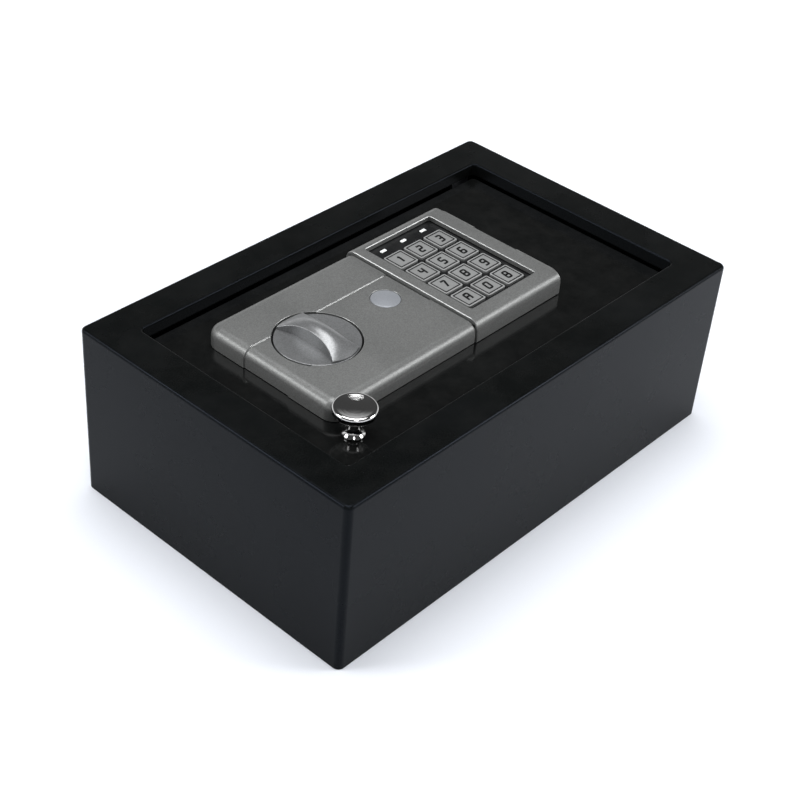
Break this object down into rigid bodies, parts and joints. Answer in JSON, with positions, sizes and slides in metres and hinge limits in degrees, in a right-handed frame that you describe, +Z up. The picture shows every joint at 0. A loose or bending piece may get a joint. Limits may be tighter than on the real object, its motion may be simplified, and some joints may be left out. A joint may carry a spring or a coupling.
{
  "type": "drawer safe",
  "caption": "Top-opening steel drawer safe with a sunken hinged lid, keypad lock, turn knob driving sliding bolts, covered override lock and chrome pull knob.",
  "frame": {"origin": "middle of the underside of the steel body", "axes": "+X along the long side from the pull knob's end to the hinge end, +Y across the body towards the top row of keys, +Z up"},
  "size_m": [0.32, 0.2, 0.1213],
  "materials": {
    "body_paint": "fine satin powder coat, dark slate grey",
    "lid_paint": "glossy black paint",
    "inner_paint": "satin dark grey paint",
    "felt": "short grey felt",
    "housing_silver": "silver metallic lacquer",
    "knob_silver": "smooth silver metallic lacquer",
    "cover_silver": "pale silver lacquer",
    "plate_black": "satin black panel",
    "key_grey": "grey key with a pale outline and a plain digit",
    "light_white": "clear white lens",
    "chrome": "polished chrome",
    "zinc_steel": "bright zinc plate",
    "bolt_steel": "turned bright steel",
    "brass": "satin brass",
    "coil_tape": "varnished copper winding",
    "silicone": "matt grey silicone",
    "board_green": "green circuit board",
    "moulded_black": "textured black plastic",
    "cell_wrap": "plain printed cell sleeve",
    "reset_red": "red plastic button"
  },
  "bodies": {
    "case": {"body_shell": "body_paint", "floor_pan": "inner_paint", "floor_mat": "felt", "hinge_bracket_front": "inner_paint", "hinge_bracket_back": "inner_paint", "lid_rest_front": "inner_paint", "lid_rest_back": "inner_paint", "bolt_keeper": "inner_paint"},
    "lid": {"lid_panel": "lid_paint", "hinge_pin_front": "zinc_steel", "hinge_pin_back": "zinc_steel", "lock_housing": "housing_silver", "keypad_bezel": "housing_silver", "keypad_plate": "plate_black", "light_1": "light_white", "light_2": "light_white", "light_3": "light_white", "key_pad": "silicone", "circuit_board": "board_green", "guide_post_1": "zinc_steel", "guide_post_2": "zinc_steel", "solenoid_frame": "zinc_steel", "solenoid_coil": "coil_tape", "override_barrel": "brass", "pull_knob": "chrome", "pull_knob_screw": "zinc_steel", "mechanism_cover": "inner_paint", "cover_screw_1": "zinc_steel", "cover_screw_2": "zinc_steel", "cover_screw_3": "zinc_steel", "cover_screw_4": "zinc_steel", "battery_box": "moulded_black", "battery_1": "cell_wrap", "battery_2": "cell_wrap", "battery_3": "cell_wrap", "battery_4": "cell_wrap"},
    "knob": {"turn_knob": "knob_silver", "knob_spindle": "zinc_steel", "crank_arm": "zinc_steel", "spindle_screw": "zinc_steel"},
    "bolts": {"bolt_carriage": "zinc_steel", "bolt_front": "bolt_steel", "bolt_back": "bolt_steel"},
    "plunger": {"solenoid_plunger": "bolt_steel"},
    "plug": {"override_plug": "brass"},
    "cap": {"lock_cover": "cover_silver"},
    "key_1": {"key_1": "key_grey"},
    "key_2": {"key_2": "key_grey"},
    "key_3": {"key_3": "key_grey"},
    "key_4": {"key_4": "key_grey"},
    "key_5": {"key_5": "key_grey"},
    "key_6": {"key_6": "key_grey"},
    "key_7": {"key_7": "key_grey"},
    "key_8": {"key_8": "key_grey"},
    "key_9": {"key_9": "key_grey"},
    "key_A": {"key_A": "key_grey"},
    "key_0": {"key_0": "key_grey"},
    "key_B": {"key_B": "key_grey"},
    "reset": {"reset_button": "reset_red"},
    "door": {"battery_door": "moulded_black"}
  },
  "joints": [
    {"name": "lid_hinge", "type": "hinge", "parent": "case", "child": "lid", "pos_m": [0.1285, 0, 0.0935], "axis": [0, 1, 0], "range_deg": [0, 90]},
    {"name": "knob_turn", "type": "hinge", "parent": "lid", "child": "knob", "pos_m": [-0.0752, 0.0054, 0.1], "axis": [0, 0, 1], "range_deg": [0, 60]},
    {"name": "bolt_slide", "type": "slide", "parent": "lid", "child": "bolts", "axis": [-1, 0, 0], "range_m": [0, 0.012]},
    {"name": "plunger_slide", "type": "slide", "parent": "lid", "child": "plunger", "axis": [0, 1, 0], "range_m": [0, 0.004]},
    {"name": "plug_turn", "type": "hinge", "parent": "lid", "child": "plug", "pos_m": [-0.02, 0.0075, 0.1], "axis": [0, 0, 1], "range_deg": [0, 90]},
    {"name": "cap_lift", "type": "slide", "parent": "lid", "child": "cap", "axis": [0, 0, 1], "range_m": [0, 0.012]},
    {"name": "key_1_press", "type": "slide", "parent": "lid", "child": "key_1", "axis": [0, 0, -1], "range_m": [0, 0.0008], "stiffness_N_per_m": 1500},
    {"name": "key_2_press", "type": "slide", "parent": "lid", "child": "key_2", "axis": [0, 0, -1], "range_m": [0, 0.0008], "stiffness_N_per_m": 1500},
    {"name": "key_3_press", "type": "slide", "parent": "lid", "child": "key_3", "axis": [0, 0, -1], "range_m": [0, 0.0008], "stiffness_N_per_m": 1500},
    {"name": "key_4_press", "type": "slide", "parent": "lid", "child": "key_4", "axis": [0, 0, -1], "range_m": [0, 0.0008], "stiffness_N_per_m": 1500},
    {"name": "key_5_press", "type": "slide", "parent": "lid", "child": "key_5", "axis": [0, 0, -1], "range_m": [0, 0.0008], "stiffness_N_per_m": 1500},
    {"name": "key_6_press", "type": "slide", "parent": "lid", "child": "key_6", "axis": [0, 0, -1], "range_m": [0, 0.0008], "stiffness_N_per_m": 1500},
    {"name": "key_7_press", "type": "slide", "parent": "lid", "child": "key_7", "axis": [0, 0, -1], "range_m": [0, 0.0008], "stiffness_N_per_m": 1500},
    {"name": "key_8_press", "type": "slide", "parent": "lid", "child": "key_8", "axis": [0, 0, -1], "range_m": [0, 0.0008], "stiffness_N_per_m": 1500},
    {"name": "key_9_press", "type": "slide", "parent": "lid", "child": "key_9", "axis": [0, 0, -1], "range_m": [0, 0.0008], "stiffness_N_per_m": 1500},
    {"name": "key_A_press", "type": "slide", "parent": "lid", "child": "key_A", "axis": [0, 0, -1], "range_m": [0, 0.0008], "stiffness_N_per_m": 1500},
    {"name": "key_0_press", "type": "slide", "parent": "lid", "child": "key_0", "axis": [0, 0, -1], "range_m": [0, 0.0008], "stiffness_N_per_m": 1500},
    {"name": "key_B_press", "type": "slide", "parent": "lid", "child": "key_B", "axis": [0, 0, -1], "range_m": [0, 0.0008], "stiffness_N_per_m": 1500},
    {"name": "reset_press", "type": "slide", "parent": "lid", "child": "reset", "axis": [0, 0, 1], "range_m": [0, 0.0012], "stiffness_N_per_m": 1500},
    {"name": "door_slide", "type": "slide", "parent": "lid", "child": "door", "axis": [1, 0, 0], "range_m": [0, 0.06]}
  ],
  "couplings": [
    {"joint": "knob_turn", "follows": "bolt_slide", "rad_per_m": 87.266}
  ]
}
